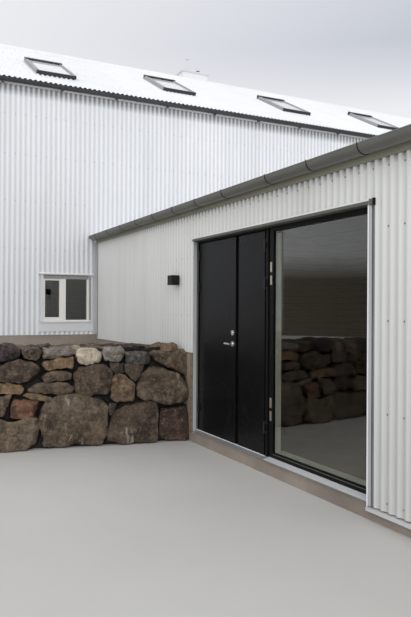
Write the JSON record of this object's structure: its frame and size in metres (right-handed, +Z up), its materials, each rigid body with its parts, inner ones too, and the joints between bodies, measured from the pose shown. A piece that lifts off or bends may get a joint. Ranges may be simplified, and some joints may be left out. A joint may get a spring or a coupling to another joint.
{
  "type": "house with two corrugated metal wings",
  "caption": "House of a tall gabled wing and a low entry wing clad in corrugated metal, with a double entrance door, a large fixed pane, roof windows and a dry-stone retaining wall.",
  "frame": {"origin": "ground level under the middle of the plan's bounding box", "axes": "+X along the tall wing, away from the retaining wall; +Y along the entry wing towards the tall wing; +Z up. The entrance doors face -X."},
  "size_m": [13.324, 16.284, 7.1977],
  "materials": {
    "concrete": "cast concrete, fine grain",
    "wall_timber": "insulated timber framing with boarding",
    "tall_sheet_white": "satin white coated steel sheet",
    "entry_sheet_grey": "satin light grey coated steel sheet",
    "roof_sheet_white": "satin white coated steel sheet",
    "trim_metal": "satin coated folded sheet",
    "fascia_paint": "painted board",
    "gutter_black": "satin black coated steel",
    "gutter_grey": "satin dark grey coated steel",
    "roof_window_metal": "matt dark grey coated aluminium",
    "window_white": "white painted timber",
    "window_glass": "clear double glazing",
    "chimney_white": "off-white coated sheet",
    "zinc": "dull grey coated sheet",
    "door_black": "satin black paint",
    "hinge_black": "black coated steel",
    "lining_pale": "pale painted timber",
    "threshold_metal": "mill finish aluminium, scuffed",
    "handle_steel": "satin stainless steel",
    "lamp_black": "matt black coated aluminium",
    "field_stone": "rough basalt field stones laid dry"
  },
  "bodies": {
    "house": {"tall_plinth": "concrete", "tall_floor": "concrete", "upper_floor": "wall_timber", "tall_front_wall_left": "wall_timber", "tall_front_wall_right": "wall_timber", "tall_front_lintel": "wall_timber", "tall_back_wall": "wall_timber", "tall_left_gable": "wall_timber", "tall_right_gable": "wall_timber", "tall_front_cladding": "tall_sheet_white", "tall_back_cladding": "tall_sheet_white", "tall_gable_cladding": "tall_sheet_white", "tall_roof_front": "wall_timber", "tall_roof_back": "wall_timber", "tall_sheet_front": "roof_sheet_white", "tall_sheet_back": "roof_sheet_white", "tall_gutters": "gutter_black", "skylight_frames": "roof_window_metal", "skylight_panes": "window_glass", "chimney_stack": "chimney_white", "chimney_cap": "zinc", "chimney_flues": "zinc", "ridge_vent": "zinc", "entry_plinth": "concrete", "stem_wall": "concrete", "entry_floor": "concrete", "entry_wall_near": "wall_timber", "entry_wall_far": "wall_timber", "entry_lintel": "wall_timber", "entry_back_wall": "wall_timber", "entry_gable_wall": "wall_timber", "entry_front_cladding": "entry_sheet_grey", "entry_back_cladding": "entry_sheet_grey", "entry_gable_cladding": "entry_sheet_grey", "entry_roof_front": "wall_timber", "entry_roof_back": "wall_timber", "entry_sheet_front": "roof_sheet_white", "entry_sheet_back": "roof_sheet_white", "entry_gutters": "gutter_grey", "ridge_caps": "roof_sheet_white", "verge_flashings": "roof_sheet_white", "fascia_boards": "fascia_paint", "corner_flashings": "trim_metal", "opening_flashings": "trim_metal", "small_window_frames": "window_white", "small_window_panes": "window_glass", "small_window_flashings": "trim_metal", "door_frame": "door_black", "door_hinge_pins": "hinge_black", "threshold": "threshold_metal", "side_window_frame": "door_black", "side_window_lining": "lining_pale", "side_window_pane": "window_glass", "wall_lamp": "lamp_black", "retaining_wall": "field_stone"},
    "active_door": {"active_leaf": "door_black", "door_handles": "handle_steel"},
    "passive_door": {"passive_leaf": "door_black"}
  },
  "joints": [
    {"name": "active_door_swing", "type": "hinge", "parent": "house", "child": "active_door", "pos_m": [-3.189, -1.783, 1.17], "axis": [0, 0, -1], "range_deg": [0, 90]},
    {"name": "passive_door_swing", "type": "hinge", "parent": "house", "child": "passive_door", "pos_m": [-3.189, -3.137, 1.17], "axis": [0, 0, 1], "range_deg": [0, 100]}
  ]
}
